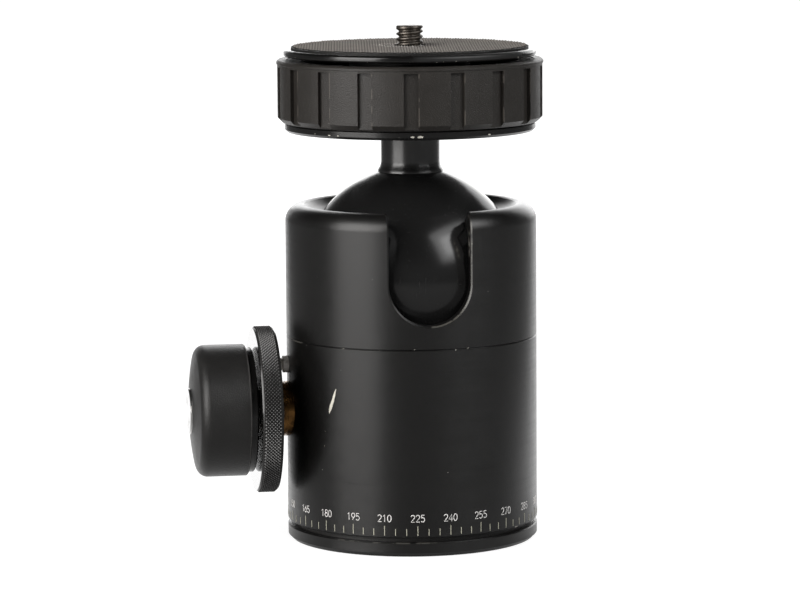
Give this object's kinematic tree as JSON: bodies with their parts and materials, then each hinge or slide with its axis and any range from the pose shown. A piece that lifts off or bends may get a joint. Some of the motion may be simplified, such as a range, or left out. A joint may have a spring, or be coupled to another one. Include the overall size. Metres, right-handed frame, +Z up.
{
  "type": "tripod ball head",
  "caption": "Tripod ball head: padded platform with a camera screw on a large ball, drop slot, side locking knob, friction ring and panning base.",
  "frame": {"origin": "middle of the base plate's underside, at the mouth of the tripod thread", "axes": "+Z up the stem to the camera screw; the locking knob points along -X and the drop slot opens along -Y"},
  "size_m": [0.0858, 0.0636, 0.1226],
  "materials": {
    "black_aluminium": "satin black anodised",
    "bare_aluminium": "turned",
    "gloss_black_ball": "gloss black hard coat",
    "steel": "turned",
    "dark_steel": "dark oxide",
    "black_steel": "black oxide",
    "brass": "turned",
    "black_rubber": "matte",
    "grey_rubber": "fine diamond texture",
    "soft_black_plastic": "soft touch",
    "badge_plastic": "bare disc",
    "black_acetal": "turned",
    "white_ptfe": "turned"
  },
  "bodies": {
    "base": {"base_plate": "black_aluminium", "thread_insert": "steel", "thrust_washer": "black_acetal", "retaining_nut": "steel"},
    "housing": {"lower_housing": "black_aluminium", "upper_housing": "black_aluminium", "ball_collar": "white_ptfe", "cup_piston": "bare_aluminium", "cup_seal": "black_rubber", "brake_piston": "bare_aluminium", "brake_seal": "black_rubber", "brake_lining": "black_rubber", "preload_spring": "steel", "knob_bush": "brass", "ring_clip": "steel", "stop_pin": "steel"},
    "plunger": {"plunger": "steel", "plunger_seal": "black_rubber"},
    "knob": {"knob_shaft": "steel", "knob_core": "black_acetal", "knob_cap": "soft_black_plastic", "knob_badge": "badge_plastic", "knob_screw": "steel"},
    "friction_ring": {"friction_ring": "black_aluminium"},
    "ball_liner": {"ball_liner": "white_ptfe"},
    "ball": {"ball": "gloss_black_ball"},
    "stem": {"neck": "black_steel", "neck_bolt": "steel", "platform_hub": "black_steel", "camera_screw": "dark_steel"},
    "hand_wheel": {"wheel_core": "bare_aluminium", "grip_ring": "black_rubber", "lower_disc": "black_aluminium", "disc_screws": "steel"},
    "platform": {"platform_disc": "black_aluminium", "platform_pad": "grey_rubber"}
  },
  "joints": [
    {"name": "pan", "type": "hinge", "parent": "base", "child": "housing", "pos_m": [0, 0, 0.0045], "axis": [0, 0, 1], "continuous": true},
    {"name": "plunger_travel", "type": "slide", "parent": "housing", "child": "plunger", "axis": [1, 0, 0], "range_m": [-0.00125, 0.00031]},
    {"name": "knob_turn", "type": "hinge", "parent": "plunger", "child": "knob", "pos_m": [-0.04, 0, 0.0315], "axis": [1, 0, 0], "range_deg": [-360, 90]},
    {"name": "friction_turn", "type": "hinge", "parent": "housing", "child": "friction_ring", "pos_m": [-0.0355, 0, 0.0315], "axis": [1, 0, 0], "range_deg": [-120, 120]},
    {"name": "ball_roll", "type": "hinge", "parent": "housing", "child": "ball_liner", "pos_m": [0, 0, 0.0631], "axis": [0, 1, 0], "range_deg": [-25, 25]},
    {"name": "ball_tilt", "type": "hinge", "parent": "ball_liner", "child": "ball", "pos_m": [0, 0, 0.0631], "axis": [1, 0, 0], "range_deg": [-25, 90]},
    {"name": "ball_spin", "type": "hinge", "parent": "ball", "child": "stem", "pos_m": [0, 0, 0.0631], "axis": [0, 0, 1], "continuous": true},
    {"name": "wheel_turn", "type": "hinge", "parent": "stem", "child": "hand_wheel", "pos_m": [0, 0, 0.107], "axis": [0, 0, -1], "range_deg": [0, 360]},
    {"name": "platform_rise", "type": "slide", "parent": "stem", "child": "platform", "axis": [0, 0, 1], "range_m": [0, 0.001]}
  ],
  "couplings": [
    {"joint": "knob_turn", "follows": "plunger_travel", "rad_per_m": 5026.5},
    {"joint": "platform_rise", "follows": "wheel_turn", "m_per_rad": 0.00015915}
  ]
}
